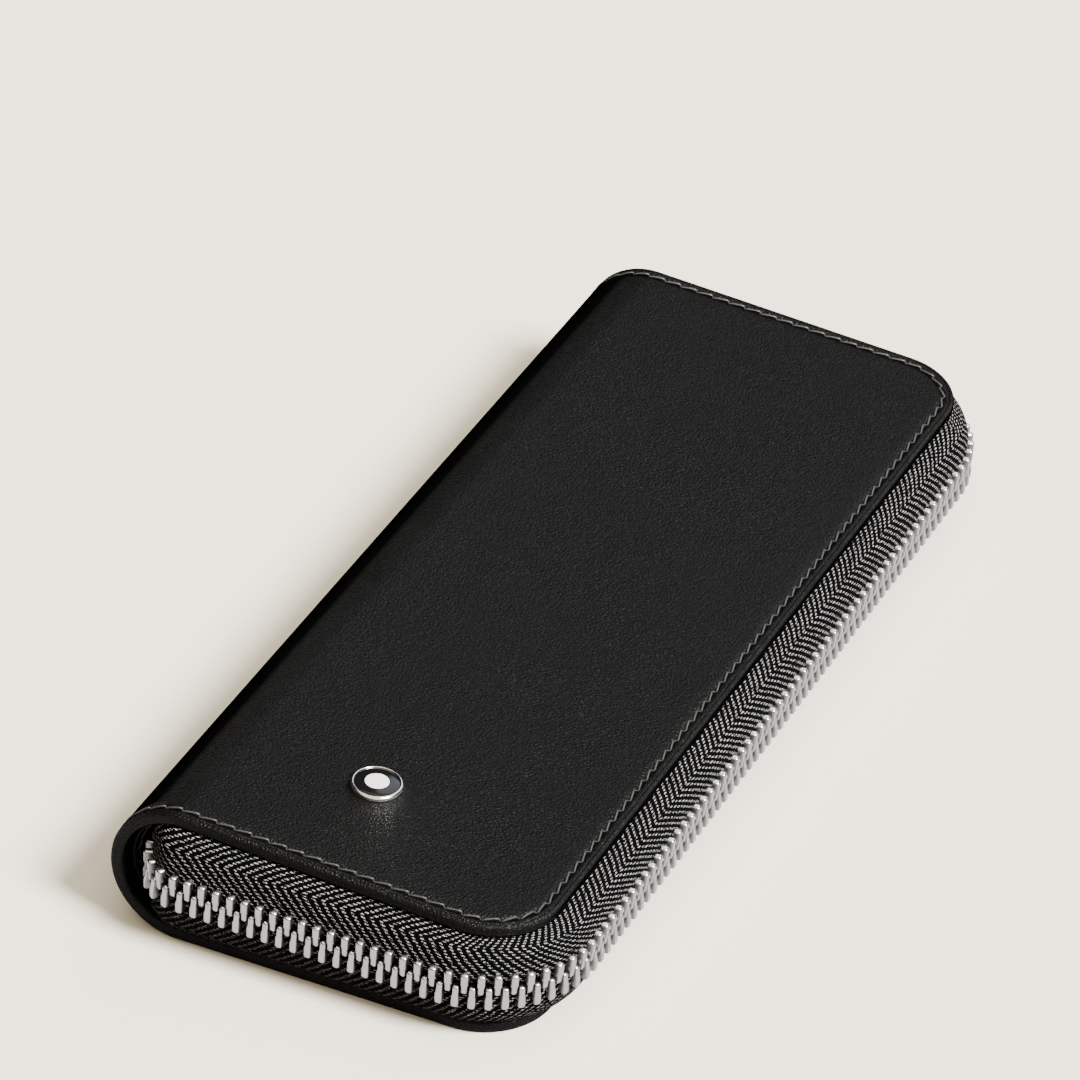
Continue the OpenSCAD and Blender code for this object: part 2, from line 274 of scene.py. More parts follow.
def newGroup(name, inputs, outputs):
    # inputs maps a name to its starting value, or to None for the vector
    group = bpy.data.node_groups.new(name, "ShaderNodeTree")
    for socket, value in inputs.items():
        kind = "NodeSocketVector" if value is None else "NodeSocketFloat"
        s = group.interface.new_socket(socket, in_out="INPUT", socket_type=kind)
        if value is not None:
            s.default_value = value
    for socket in outputs:
        group.interface.new_socket(socket, in_out="OUTPUT", socket_type="NodeSocketFloat")
    return group, group.nodes.new("NodeGroupInput").outputs, group.nodes.new("NodeGroupOutput").inputs


def feed(tree, socket, value):
    # a number or a colour is set on the socket, an output is linked to it
    if isinstance(value, tuple):
        socket.default_value = (*value, 1)
    elif isinstance(value, (int, float)):
        socket.default_value = value
    else:
        tree.links.new(value, socket)


def mathNode(tree, operation, *values):
    n = tree.nodes.new("ShaderNodeMath")
    n.operation = operation
    for socket, value in zip(n.inputs, values):
        feed(tree, socket, value)
    return n.outputs[0]


def weighted(tree, a, weightA, b, weightB):
    first = mathNode(tree, "MULTIPLY", a, weightA)
    return mathNode(tree, "ADD", first, mathNode(tree, "MULTIPLY", b, weightB))


def mixColour(tree, factor, a, b):
    n = tree.nodes.new("ShaderNodeMix")
    n.data_type = "RGBA"
    for k, value in ((0, factor), (6, a), (7, b)):  # the factor and the two colours
        feed(tree, n.inputs[k], value)
    return n.outputs[2]


def noiseNode(tree, vector, scale, detail=2, roughness=0.5):
    n = tree.nodes.new("ShaderNodeTexNoise")
    feed(tree, n.inputs["Vector"], vector)
    feed(tree, n.inputs["Scale"], scale)
    n.inputs["Detail"].default_value = detail
    n.inputs["Roughness"].default_value = roughness
    return n.outputs


def smoothStep(tree, value, low, high):
    n = tree.nodes.new("ShaderNodeMapRange")
    n.interpolation_type = "SMOOTHSTEP"
    n.inputs["From Min"].default_value = low
    n.inputs["From Max"].default_value = high
    tree.links.new(value, n.inputs["Value"])
    return n.outputs["Result"]


grainLook = {
    "wobbleScale": 900,
    "wobble": 0.0005,
    "domeWidth": 0.35,
    "fineDetail": 6,
    "fineRoughness": 0.6,
    "broadScale": 45,
    "broadDetail": 4,
    "height": (0.5, 0.6),  # shares of the pebbles and the fine grain
    "patchFrom": 0.36,
    "patchTo": 0.64,
    "patchDepth": 0.5,
    "shallow": 0.72,
    "tone": (0.35, 0.65),  # shares of the pebbles and the broad clouding
    "shine": (0.6, 0.4),  # shares of the fine grain and the broad clouding
}


def leatherGrain():
    # fine pebbled grain with faint creases: Height for the bump, Tone for the colour, Shine for the roughness
    look = grainLook
    inputs = {"Vector": None, "Pebble Size": 0.0006, "Crease": 0.3}
    group, given, out = newGroup("Leather grain", inputs, ("Height", "Tone", "Shine"))
    vector = given["Vector"]
    frequency = mathNode(group, "DIVIDE", 1.0, given["Pebble Size"])
    wobble = noiseNode(group, vector, look["wobbleScale"])
    shift = group.nodes.new("ShaderNodeVectorMath")
    shift.operation = "MULTIPLY_ADD"
    group.links.new(wobble["Color"], shift.inputs[0])
    shift.inputs[1].default_value = (look["wobble"],) * 3
    group.links.new(vector, shift.inputs[2])
    pebbles = group.nodes.new("ShaderNodeTexVoronoi")
    pebbles.feature = "DISTANCE_TO_EDGE"
    group.links.new(shift.outputs[0], pebbles.inputs["Vector"])
    group.links.new(frequency, pebbles.inputs["Scale"])
    dome = smoothStep(group, pebbles.outputs["Distance"], 0.0, look["domeWidth"])
    fine = noiseNode(group, vector, frequency, look["fineDetail"], look["fineRoughness"])["Fac"]
    broad = noiseNode(group, vector, look["broadScale"], look["broadDetail"])["Fac"]
    height = weighted(group, dome, look["height"][0], fine, look["height"][1])
    patch = smoothStep(group, broad, look["patchFrom"], look["patchTo"])  # uneven grain
    patch = mathNode(group, "MULTIPLY_ADD", patch, look["patchDepth"], look["shallow"])
    height = mathNode(group, "MULTIPLY", height, patch)
    height = mathNode(group, "ADD", height, mathNode(group, "MULTIPLY", broad, given["Crease"]))
    group.links.new(height, out["Height"])
    group.links.new(weighted(group, dome, look["tone"][0], broad, look["tone"][1]), out["Tone"])
    group.links.new(weighted(group, fine, look["shine"][0], broad, look["shine"][1]), out["Shine"])
    return group


weaveLook = {
    "Stripe": 0.0015,
    "Yarn": 0.00042,
    "Turn At": 0.0059,  # where the stripes turn back, measured from the teeth
    "Slope": -1.2,
    "drift": 0.06,  # how far the yarns lean along the tape
    "frayScale": 3200,
    "jitter": 0.55,
    "stripeEdge": (0.29, 0.38),
    "yarnEdge": (0.22, 0.32),
    "unevenEdge": (0.34, 0.62),
    "unevenShare": 1.0,
    "dimmest": 0.08,
    "relief": (0.6, 0.8),  # shares of the pale yarns and of every yarn
}


def herringbone():
    # woven tape: the vector's x runs along it and y across; Light is the pale yarn, Height the weave's relief
    look = weaveLook
    inputs = {"Vector": None} | {key: look[key] for key in ("Stripe", "Yarn", "Turn At", "Slope")}
    group, given, out = newGroup("Herringbone weave", inputs, ("Light", "Height"))
    split = group.nodes.new("ShaderNodeSeparateXYZ")
    group.links.new(given["Vector"], split.inputs[0])
    along, across = split.outputs[0], split.outputs[1]
    fold = mathNode(group, "ABSOLUTE", mathNode(group, "SUBTRACT", across, given["Turn At"]))
    rise = mathNode(group, "MULTIPLY", fold, given["Slope"])
    stripe = mathNode(group, "DIVIDE", mathNode(group, "ADD", along, rise), given["Stripe"])
    stripeWave = mathNode(group, "PINGPONG", stripe, 0.5)
    leaning = mathNode(group, "ADD", across, mathNode(group, "MULTIPLY", along, look["drift"]))
    yarnWave = mathNode(group, "PINGPONG", mathNode(group, "DIVIDE", leaning, given["Yarn"]), 0.5)
    fray = noiseNode(group, given["Vector"], look["frayScale"])["Fac"]
    jitter = mathNode(group, "MULTIPLY", mathNode(group, "SUBTRACT", fray, 0.5), look["jitter"])
    stripeOn = smoothStep(group, mathNode(group, "ADD", stripeWave, jitter), *look["stripeEdge"])
    yarnOn = smoothStep(group, mathNode(group, "ADD", yarnWave, jitter), *look["yarnEdge"])
    uneven = smoothStep(group, fray, *look["unevenEdge"])
    uneven = mathNode(group, "MULTIPLY_ADD", uneven, look["unevenShare"], look["dimmest"])
    light = mathNode(group, "MULTIPLY", mathNode(group, "MULTIPLY", stripeOn, yarnOn), uneven)
    group.links.new(light, out["Light"])
    group.links.new(weighted(group, light, look["relief"][0], yarnWave, look["relief"][1]), out["Height"])
    return group


wearLook = {"scale": 1400, "detail": 5, "edge": (0.35, 0.75)}


def metalWear():
    # fine scuffs on plated metal
    group, given, out = newGroup("Metal wear", {"Vector": None, "Amount": 0.3}, ("Scuff", "Height"))
    noise = noiseNode(group, given["Vector"], wearLook["scale"], wearLook["detail"])["Fac"]
    scuff = smoothStep(group, noise, *wearLook["edge"])
    group.links.new(mathNode(group, "MULTIPLY", scuff, given["Amount"]), out["Scuff"])
    group.links.new(noise, out["Height"])
    return group


groups = {"grain": leatherGrain(), "weave": herringbone(), "wear": metalWear()}


def newMaterial(name, useUv=False):
    m = bpy.data.materials.new(name)
    m.use_nodes = True
    tree = m.node_tree
    coords = tree.nodes.new("ShaderNodeTexCoord")
    return m, tree, tree.nodes["Principled BSDF"].inputs, coords.outputs["UV" if useUv else "Object"]


def groupNode(tree, key, vector, values=None):
    n = tree.nodes.new("ShaderNodeGroup")
    n.node_tree = groups[key]
    tree.links.new(vector, n.inputs["Vector"])
    for name, value in (values or {}).items():
        n.inputs[name].default_value = value
    return n.outputs


def bumped(tree, shader, height, strength, distance):
    b = tree.nodes.new("ShaderNodeBump")
    b.inputs["Strength"].default_value = strength
    b.inputs["Distance"].default_value = distance
    tree.links.new(height, b.inputs["Height"])
    tree.links.new(b.outputs["Normal"], shader["Normal"])


leatherLooks = {
    "leather": {
        "name": "Black leather", "dark": (0.0009, 0.0009, 0.0009), "light": (0.0029, 0.0029, 0.0029),
        "roughness": (0.34, 0.49), "pebble": 0.00054, "bump": 0.54, "crease": 0.3, "gloss": 0.155,
    },
    "edge": {
        "name": "Painted edge", "dark": (0.005, 0.005, 0.0052), "light": (0.0075, 0.0075, 0.0077),
        "roughness": (0.34, 0.46), "pebble": 0.0016, "bump": 0.036, "crease": 0.1, "gloss": 0.1,
    },
    "lining": {
        "name": "Lining leather", "dark": (0.0035, 0.0035, 0.0037), "light": (0.007, 0.007, 0.0072),
        "roughness": (0.5, 0.7), "pebble": 0.00045, "bump": 0.24, "crease": 0.3, "gloss": 0.155,
    },
}
glossFade = (0.34, 0.6)
grainDepth = 0.0004


def leather(key):
    look = leatherLooks[key]
    m, tree, shader, vector = newMaterial(look["name"])
    grain = groupNode(tree, "grain", vector, {"Pebble Size": look["pebble"], "Crease": look["crease"]})
    feed(tree, shader["Base Color"], mixColour(tree, grain["Tone"], look["dark"], look["light"]))
    smoothest, roughest = look["roughness"]
    rough = mathNode(tree, "MULTIPLY_ADD", grain["Shine"], roughest - smoothest, smoothest)
    feed(tree, shader["Roughness"], rough)
    weight = tree.nodes.new("ShaderNodeLayerWeight")  # the sheen fades where the leather turns away
    faced = smoothStep(tree, mathNode(tree, "SUBTRACT", 1.0, weight.outputs["Facing"]), *glossFade)
    feed(tree, shader["Specular IOR Level"], mathNode(tree, "MULTIPLY", faced, look["gloss"]))
    bumped(tree, shader, grain["Height"], look["bump"], grainDepth)
    return m


tapeLook = {"ground": (0.0008, 0.0008, 0.0009), "yarn": (0.36, 0.354, 0.348), "roughness": 0.8, "gloss": 0.03}


def tapeCloth():
    m, tree, shader, vector = newMaterial("Herringbone tape", useUv=True)
    weave = groupNode(tree, "weave", vector)
    feed(tree, shader["Base Color"], mixColour(tree, weave["Light"], tapeLook["ground"], tapeLook["yarn"]))
    feed(tree, shader["Roughness"], tapeLook["roughness"])
    feed(tree, shader["Specular IOR Level"], tapeLook["gloss"])
    bumped(tree, shader, weave["Height"], 0.8, 0.00018)
    return m


def clouded(name, scale, dark, light, roughness):
    # a plain material whose colour varies finely from dark to light
    m, tree, shader, vector = newMaterial(name)
    noise = noiseNode(tree, vector, scale)["Fac"]
    feed(tree, shader["Base Color"], mixColour(tree, noise, dark, light))
    feed(tree, shader["Roughness"], roughness)
    return m, tree, shader, noise


def thread():
    m, tree, shader, noise = clouded("Waxed thread", 3500, (0.006, 0.006, 0.006), (0.068, 0.067, 0.065), 0.5)
    bumped(tree, shader, noise, 0.5, 0.0001)
    return m


metalLooks = {
    "teeth": {"name": "Tooth metal", "colour": (0.84, 0.84, 0.85), "roughness": 0.2, "wear": 0.35},
    # flank: darker plated metal for the teeth's side faces, painted shade between neighbouring teeth
    "toothFlankShade": {"name": "Tooth flank painted shade", "colour": (0.36, 0.36, 0.365), "roughness": 0.28, "wear": 0.35},
    "ring": {"name": "Polished ring", "colour": (0.85, 0.85, 0.86), "roughness": 0.18, "wear": 0.15},
    "slider": {"name": "Slider metal", "colour": (0.78, 0.78, 0.79), "roughness": 0.16, "wear": 0.35},
}


def platedMetal(key):
    look = metalLooks[key]
    m, tree, shader, vector = newMaterial(look["name"])
    wear = groupNode(tree, "wear", vector, {"Amount": look["wear"]})
    feed(tree, shader["Metallic"], 1)
    dull = tuple(c * 0.72 for c in look["colour"])
    feed(tree, shader["Base Color"], mixColour(tree, wear["Scuff"], look["colour"], dull))
    feed(tree, shader["Roughness"], mathNode(tree, "MULTIPLY_ADD", wear["Scuff"], 0.35, look["roughness"]))
    bumped(tree, shader, wear["Height"], 0.08, 0.00005)
    return m


def resin(name, dark, light):
    m, tree, shader, _ = clouded(name, 800, dark, light, 0.12)
    feed(tree, shader["Specular IOR Level"], 0.2)
    feed(tree, shader["Coat Weight"], 0.15)
    feed(tree, shader["Coat Roughness"], 0.05)
    return m


elasticLook = {"rib": 0.0011, "knit": 0.0006, "dark": (0.006, 0.006, 0.007), "light": (0.035, 0.035, 0.036)}


def elastic():
    m, tree, shader, vector = newMaterial("Ribbed elastic", useUv=True)
    split = tree.nodes.new("ShaderNodeSeparateXYZ")
    tree.links.new(vector, split.inputs[0])
    rib = mathNode(tree, "PINGPONG", mathNode(tree, "DIVIDE", split.outputs[1], elasticLook["rib"]), 0.5)
    knit = mathNode(tree, "PINGPONG", mathNode(tree, "DIVIDE", split.outputs[0], elasticLook["knit"]), 0.5)
    height = mathNode(tree, "ADD", rib, mathNode(tree, "MULTIPLY", knit, 0.5))
    feed(tree, shader["Base Color"], mixColour(tree, height, elasticLook["dark"], elasticLook["light"]))
    feed(tree, shader["Roughness"], 0.8)
    bumped(tree, shader, height, 0.8, 0.0003)
    return m


def boardCard():
    m, tree, shader, noise = clouded("Grey board", 900, (0.2, 0.18, 0.14), (0.32, 0.29, 0.24), 0.9)
    bumped(tree, shader, noise, 0.4, 0.0001)
    return m


paint = {key: leather(key) for key in leatherLooks} | {key: platedMetal(key) for key in metalLooks}
print("materials ready")
paint |= {
    "tape": tapeCloth(),
    "thread": thread(),
    "resin": resin("Black resin", (0.003, 0.003, 0.0035), (0.006, 0.006, 0.0065)),
    "inlay": resin("Pale inlay", (0.78, 0.77, 0.74), (0.86, 0.85, 0.83)),
    "elastic": elastic(),
    "board": boardCard(),
}


def uSamples(last):
    return samples(0, arcLength, meshStep["spine"]) + samples(arcLength, last, meshStep["flat"])[1:]


def borderStations():
    # centre point and outward direction of each section round a half of the cover, in the unrolled plane
    bends = samples(0, quarter, meshStep["corner"])[1:]
    found = [((u, -cornerY), (0, -1)) for u in uSamples(flatEnd)]
    found += [((flatEnd, -cornerY), (math.sin(a), -math.cos(a))) for a in bends]
    found += [((flatEnd, y), (1, 0)) for y in samples(-cornerY, cornerY, meshStep["side"])[1:]]
    found += [((flatEnd, cornerY), (math.cos(a), math.sin(a))) for a in bends]
    found += [((u, cornerY), (0, 1)) for u in reversed(uSamples(flatEnd)[:-1])]
    return found


def halfPlate(name, profile, front, edgeColumns=0):
    # one half of the cover: a border swept round three sides and a flat middle
    # profile is (inset, height) pairs from the edge in, and the last inset is the corner radius
    flip = mirrored if front else same
    stations = borderStations()
    run = [0]
    for (a, _), (b, _) in zip(stations, stations[1:]):
        run.append(run[-1] + math.dist(a, b))

    def border(i, j):
        (cu, cy), (du, dy) = stations[i]
        inset, h = profile[j]
        reach = case["cornerR"] - inset
        return flip(unrolled(cu + reach * du, cy + reach * dy, h)), (run[i], inset)

    us, ys = uSamples(flatEnd), samples(-cornerY, cornerY, meshStep["side"])

    def middle(i, j):
        return flip(unrolled(us[i], ys[j], profile[-1][1])), (us[i], ys[j])

    rim = loft(name + "Rim", len(stations), len(profile), border)
    if edgeColumns:
        paintColumns(rim, edgeColumns)
    flat = loft(name + "Flat", len(us), len(ys), middle)
    return joined(name, [rim, flat])


# (inset, height) pairs: the inner face, the painted edge of two layers, the crease and the stitched channel
coverShape = {
    "inside": [(3.2, 2.0), (1.6, 2.0), (0.5, 1.99), (0.2, 1.93)],
    "edge": [
        (0.05, 1.76), (0.0, 1.5), (0.005, 1.2), (0.03, 1.1),
        (0.005, 1.0), (0.0, 0.62), (0.06, 0.32), (0.22, 0.12),
    ],
    "crease": [(0.45, 0.03), (0.62, 0.03), (0.7, 0.12), (0.78, 0.03), (0.95, 0.0)],
    "channel": [(1.25, 0.02), (1.5, 0.1), (1.72, 0.24), (1.9, 0.3), (2.08, 0.24), (2.3, 0.1), (2.7, 0.02)],
    "top": [(3.4, 0.0), (5.5, 0.0), (11, 0.0)],
    "edgeColumns": 18,
    "bendReach": 6,
}
liningShape = [
    (2.62, 2.42), (2.6, 2.6), (2.66, 2.74), (2.9, 2.8),
    (4.2, 2.78), (4.6, 2.72), (5.0, 2.78), (11, 2.8),
]


def awayFromMiddle(p):
    return p - Vector((spineX + 20, 0, spineZ)) * mm


def towardsMiddle(p):
    return -awayFromMiddle(p)


def cover(front):
    rim = sum((coverShape[key] for key in ("inside", "edge", "crease", "channel", "top")), [])
    plate = halfPlate(halfName("Cover", front), rim, front, coverShape["edgeColumns"])
    dress(plate, paint["leather"], paint["edge"])
    return tidied(plate, outward=awayFromMiddle)


def lining(front):
    plate = halfPlate(halfName("Lining", front), liningShape, front)
    dress(plate, paint["lining"])
    return tidied(plate, outward=towardsMiddle)


def bendWithCover(obj, front):
    # works out a half's fold line and points a few millimetres each side of it, but only bakes the piece's
    # transform into its mesh; nothing is bent
    hinge = unrolled(arcLength - case["spineR"] * (math.radians(270) - backHinge), 0, 0)
    tangent = Vector((-math.sin(backHinge - math.pi), 0, math.cos(backHinge - math.pi)))
    start, end = hinge - coverShape["bendReach"] * tangent, hinge + coverShape["bendReach"] * tangent
    if front:
        mirrored(end) * mm
        mirrored(start) * mm
        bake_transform(obj)
    else:
        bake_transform(obj)


def coverPieces():
    for front in (False, True):
        leatherPiece = cover(front)
        liningPiece = lining(front)
        if front:
            handOver(leatherPiece, ["front_leather", "front_backing"], "leather")
            handOver(liningPiece, ["front_lining"], "lining")
        else:
            nodes = ["back_leather", "back_backing", "spine_leather", "spine_backing"]
            handOver(leatherPiece, nodes, "leather")
            handOver(liningPiece, ["back_lining", "spine_lining"], "lining")
        bendWithCover(leatherPiece, front)
        bendWithCover(liningPiece, front)
        print("cover", bodyName(front), len(leatherPiece.data.polygons))


stitchShape = {
    "pitch": 2.8,
    "length": 2.5,
    "width": 0.32,
    "slant": 0.31,
    "high": 0.19,
    "hole": 0.02,
    "outerDepth": 0.2,
    "innerDepth": 2.86,
    "innerInset": 2.0,
    "pastMiddle": 3,  # how far a stitch may reach past the middle of the spine
}


def stitchPlan():
    # place and heading of each stitch round one half, in the unrolled plane
    r = case["cornerR"] - case["stitchInset"]
    edge = halfL - case["stitchInset"]
    side = flatEnd + r
    parts = [
        (flatEnd, lambda t: (t, -edge, 0)),
        (quarter * r, lambda t: turned(flatEnd, -cornerY, r, t / r)),
        (2 * cornerY, lambda t: (side, t - cornerY, quarter)),
        (quarter * r, lambda t: turned(flatEnd, cornerY, r, quarter + t / r)),
        (flatEnd, lambda t: (flatEnd - t, edge, 2 * quarter)),
    ]
    total = sum(length for length, _ in parts)
    count = round(total / stitchShape["pitch"])
    found = []
    for i in range(count):
        s = (i + 0.5) * total / count
        for length, at in parts:
            if s < length:
                break
            s -= length
        found.append(at(s))
    return found


def oneStitch():
    # a slanted thread that turns back into the slanted hole it shares with the next one
    # x along the seam, y across, z outwards
    shape, around = stitchShape, 5
    end, slant, high, hole = shape["length"] / 2, shape["slant"], shape["high"], shape["hole"]
    joint = shape["pitch"] / 2
    half = [
        (0, 0, high),
        (0.5 * end, 0.5 * slant, high - 0.01),
        (0.88 * end, 0.9 * slant, high - 0.07),
        (end, slant, hole),
        ((end + joint) / 2, slant / 2, hole - 0.02),
        (joint, 0, hole - 0.03),
    ]
    path = [Vector((-x, -y, z)) for x, y, z in reversed(half[1:])] + [Vector(p) for p in half]

    def place(i, j):
        before, after = path[max(i - 1, 0)], path[min(i + 1, len(path) - 1)]
        along = (after - path[i]).normalized() + (path[i] - before).normalized()
        side = Vector((-along.y, along.x, 0)).normalized()
        thick = shape["width"] / 2 * (1 if 2 < i < 8 else 0.6)
        a = 2 * math.pi * j / around
        return path[i] + side * thick * math.cos(a) + Vector((0, 0, thick * 0.75 * math.sin(a))), (i, a)

    obj = loft("Stitch", len(path), around + 1, place)
    return tidied(obj, merge=0.000001)


def stitches(front, inner=False):
    shape = stitchShape
    flip = mirrored if front else same
    pattern = oneStitch()
    copies = []
    depth = shape["innerDepth" if inner else "outerDepth"]
    sign = -1 if inner else 1
    shift = shape["innerInset"] if inner else 0
    for u, y, heading in stitchPlan():
        c, s = math.cos(heading), math.sin(heading)
        u, y = u - shift * s, y + shift * c
        new = copyOf(pattern)
        for v in new.data.vertices:
            x, across, out = v.co / mm
            along = max(u + x * c - across * s, -shape["pastMiddle"])
            v.co = flip(unrolled(along, y + x * s + across * c, depth - sign * out)) * mm
        copies.append(new)
    bpy.data.objects.remove(pattern)
    row = joined(halfName("Stitches", front) + ("Inner" if inner else ""), copies)
    tidied(row, merge=0.000001)
    dress(row, paint["thread"])
    nodes = ["front_thread"] if front else ["back_thread", "spine_thread"]
    handOver(row, [] if inner else nodes, "thread")
    bendWithCover(row, front)


tapeShape = {
    "thick": 0.45,
    "edge": 0.95,  # how far the tape's edge stays from the plane of the zip
    "sewnInset": 0.9,
    "sewnHeight": 2.15,
    "margin": 2.6,  # what lies under the panel
    "swell": 1.0,
    "lean": 0.7,
    "drop": 2.6,
    "across": 18,
    "hemSteps": 3,
}


def eased(t):
    t = min(max(t, 0), 1)
    return t * t * (3 - 2 * t)


def panelPoint(x, y, heading):
    # the point of the panel's outline that a point of the zip line faces, and the way out of the panel there
    nothing = 0.000001
    out = Vector((math.sin(heading), -math.cos(heading)))
    if x > zipCornerX + nothing and abs(y) > zipCornerY + nothing:
        return Vector((cornerX, math.copysign(cornerY, y))) + case["cornerR"] * out, out
    if heading == quarter:
        return Vector((halfW, y * cornerY / zipCornerY)), out
    span = (x - spineX) / (zipCornerX - spineX)
    return Vector((spineX + span * (cornerX - spineX), math.copysign(halfL, y))), out


def bezier(a, b, c, d, t):
    k = 1 - t
    return k * k * k * a + 3 * k * k * t * b + 3 * k * t * t * c + t * t * t * d


def tapeSection(s):
    # the points across the tape at a place on the zip line, from its hem to its toothed edge
    shape = tapeShape
    x, y, heading = zipPoint(s)
    out3 = Vector((math.sin(heading), -math.cos(heading), 0))
    top = onZipPlane(x, y, -shape["edge"])
    inset = shape["sewnInset"]
    if x > spineX:
        edge, out = panelPoint(x, y, heading)
        base = Vector((edge.x - inset * out.x, edge.y - inset * out.y, shape["sewnHeight"]))
    else:
        r = case["spineR"] - shape["sewnHeight"]
        sewnY = math.copysign(min(abs(y), halfL - inset), y)
        base = Vector((x, sewnY, spineZ - math.sqrt(r * r - (x - spineX) ** 2)))
    reach = max((top - base).dot(out3), 0)
    ease = eased(reach / 3)  # flat where the tape runs into the spine
    b = base + out3 * (reach * 0.7 + 0.9 * shape["swell"]) * ease
    c = top + Vector((0, 0, -shape["drop"])) + out3 * shape["lean"] * shape["swell"] * ease
    hem = base - shape["margin"] * out3 * ease
    hemSteps = shape["hemSteps"]
    steps = shape["across"] - hemSteps
    points = [hem.lerp(base, j / hemSteps) for j in range(hemSteps)]
    return points + [bezier(base, b, c, top, j / (steps - 1)) for j in range(steps)]


def tapePieces(front):
    flip = mirrored if front else same
    curl = case["tail"] + quarter * case["curlR"]
    bends = math.pi * case["zipCornerR"]
    total = curl + 2 * (zipCornerX - curlX) + bends + 2 * zipCornerY
    stations = samples(0, total, meshStep["tape"])
    sections = []
    for s in stations:
        points = tapeSection(s)
        run = [0]
        for p, q in zip(points, points[1:]):
            run.append(run[-1] + (q - p).length)
        sections.append((points, run))
    shift = case["toothPitch"] / 2 if front else 0  # the weave follows its own row of teeth

    def place(i, j):
        points, run = sections[i]
        return flip(points[j]), (stations[i] + shift, run[-1] - run[j])

    tape = loft(halfName("Tape", front), len(stations), tapeShape["across"], place)
    tidied(tape, outward=lambda p: p - Vector((10, 0, spineZ)) * mm)
    dress(tape, paint["tape"])
    flatWidth = sum(run[-1] for _, run in sections) / len(sections) * mm
    flatLength = sum(f.area for f in tape.data.polygons) / flatWidth
    applied(tape, "SOLIDIFY", thickness=tapeShape["thick"] * mm, offset=-1)
    handOver(tape, [bodyName(front) + "_tape"], "tape", bodyName(front))
    print(tape.name, "flat", round(flatWidth / mm, 1), "by", round(flatLength / mm, 1), "mm")


toothShape = {
    "along": 1.2,
    "nose": 0.98,
    "through": 2.2,
    "low": -3.0,
    "high": 0.6,
    "back": 0.15,  # how far the tooth sits towards the tape
    "round": 0.4,
    "cuts": (-1.25, -0.75),
    "noseFrom": -1.3,
    "first": 0.95,
}


def oneTooth():
    # a rounded bar across the tape's edge that narrows to a nose at the meshing end
    # x along the zip, y outwards, z up
    shape = toothShape
    deselect()
    height = shape["high"] - shape["low"]
    size = Vector((shape["along"], shape["through"], height)) * mm
    middle = Vector((0, -shape["back"], (shape["high"] + shape["low"]) / 2)) * mm
    bpy.ops.mesh.primitive_cube_add(size=1)
    tooth = bpy.context.active_object
    tooth.name = "Tooth"
    bpy.ops.object.mode_set(mode="EDIT")
    bpy.ops.transform.resize(value=size, center_override=(0, 0, 0))
    bpy.ops.transform.translate(value=middle)
    bpy.ops.mesh.bevel(offset=shape["round"] * mm, segments=2, profile=0.5, affect="EDGES")
    for cut in shape["cuts"]:
        bpy.ops.mesh.select_all(action="SELECT")
        bpy.ops.mesh.bisect(plane_co=(0, 0, cut * mm), plane_no=(0, 0, 1))
    bpy.ops.object.mode_set(mode="OBJECT")
    for v in tooth.data.vertices:
        above = v.co.z / mm - shape["noseFrom"]
        v.co.x *= 1 - (1 - shape["nose"] / shape["along"]) * eased(above / 0.6)
        v.co.y *= 1 - 0.2 * eased(above / 0.9)
    dress(tooth, paint["teeth"], paint["toothFlankShade"])
    # side faces towards the neighbouring teeth take the darker flank colour: painted shade in the slits
    # between the teeth
    for face in tooth.data.polygons:
        face.material_index = 1 if abs(face.normal.x) > 0.8 else 0
    return smooth(tooth, 60)


def teeth(front):
    flip = mirrored if front else same
    pattern = oneTooth()
    copies = []
    for i in range(case["toothCount"]):
        x, y, heading = zipPoint(toothShape["first"] + (i + (0.5 if front else 0)) * case["toothPitch"])
        new = copyOf(pattern)
        c, s = math.cos(heading), math.sin(heading)
        for v in new.data.vertices:
            px, py, pz = v.co / mm
            v.co = flip(onZipPlane(x + px * c - py * s, y + px * s + py * c, pz)) * mm
        copies.append(new)
    bpy.data.objects.remove(pattern)
    row = joined(halfName("Teeth", front), copies)
    if front:
        flipped(row)
    handOver(row, [bodyName(front) + "_teeth"], "teeth", bodyName(front))


emblemShape = {"x": -1.4, "fromEdge": 21.4, "base": 4.1, "proud": 1.05, "disc": 3.4, "dot": 1.8, "foot": 0.4}


def emblemProfile():
    # radius and height of the tapered ring, heights counted inwards from the leather
    e = emblemShape
    hole, top, foot = e["disc"] + 0.03, -e["proud"], e["foot"]
    inner = hole + 0.1
    dome = [(inner + (e["base"] - inner) * math.sin(a), top * math.cos(a)) for a in samples(0, quarter, 0.17)]
    bore = [(hole, foot), (hole, top + 0.12), (hole + 0.03, top + 0.03)]
    return bore + dome + [(e["base"], foot), (hole, foot)]


def discProfile():
    # a black disc with a plain round inlay in a fine groove
    e = emblemShape
    high, dot, disc = -e["proud"], e["dot"], e["disc"]
    inlay = [(0.001, high - 0.09), (dot, high - 0.06)]
    groove = [(dot + 0.04, high + 0.01), (dot + 0.1, high + 0.01), (dot + 0.14, high - 0.05)]
    edge = [(disc - 0.12, high + 0.06), (disc, high + 0.16), (disc, e["foot"])]
    return inlay + groove + [(2.6, high - 0.01)] + edge


def onEmblem(x, y, h):
    # a point above the emblem's place on the outer face of the front panel
    u = emblemShape["x"] - spineX + arcLength + x
    return mirrored(unrolled(u, emblemShape["fromEdge"] - halfL + y, h))


def turnedPiece(name, profile, around=72):
    def place(i, j):
        a = 2 * math.pi * i / around
        r, h = profile[j]
        return onEmblem(r * math.cos(a), r * math.sin(a), h), (a, r)

    return loft(name, around + 1, len(profile), place)


def emblem():
    ring = tidied(turnedPiece("EmblemRing", emblemProfile()))
    dress(ring, paint["ring"])
    disc = turnedPiece("EmblemDisc", discProfile())
    paintColumns(disc, 1)
    tidied(disc, outward=lambda p: p - onEmblem(0, 0, 2) * mm)
    dress(disc, paint["resin"], paint["inlay"])
    handOver(ring, ["emblem_ring"], "emblem_metal", "front")
    handOver(disc, ["emblem_disc"], "emblem_disc", "front")


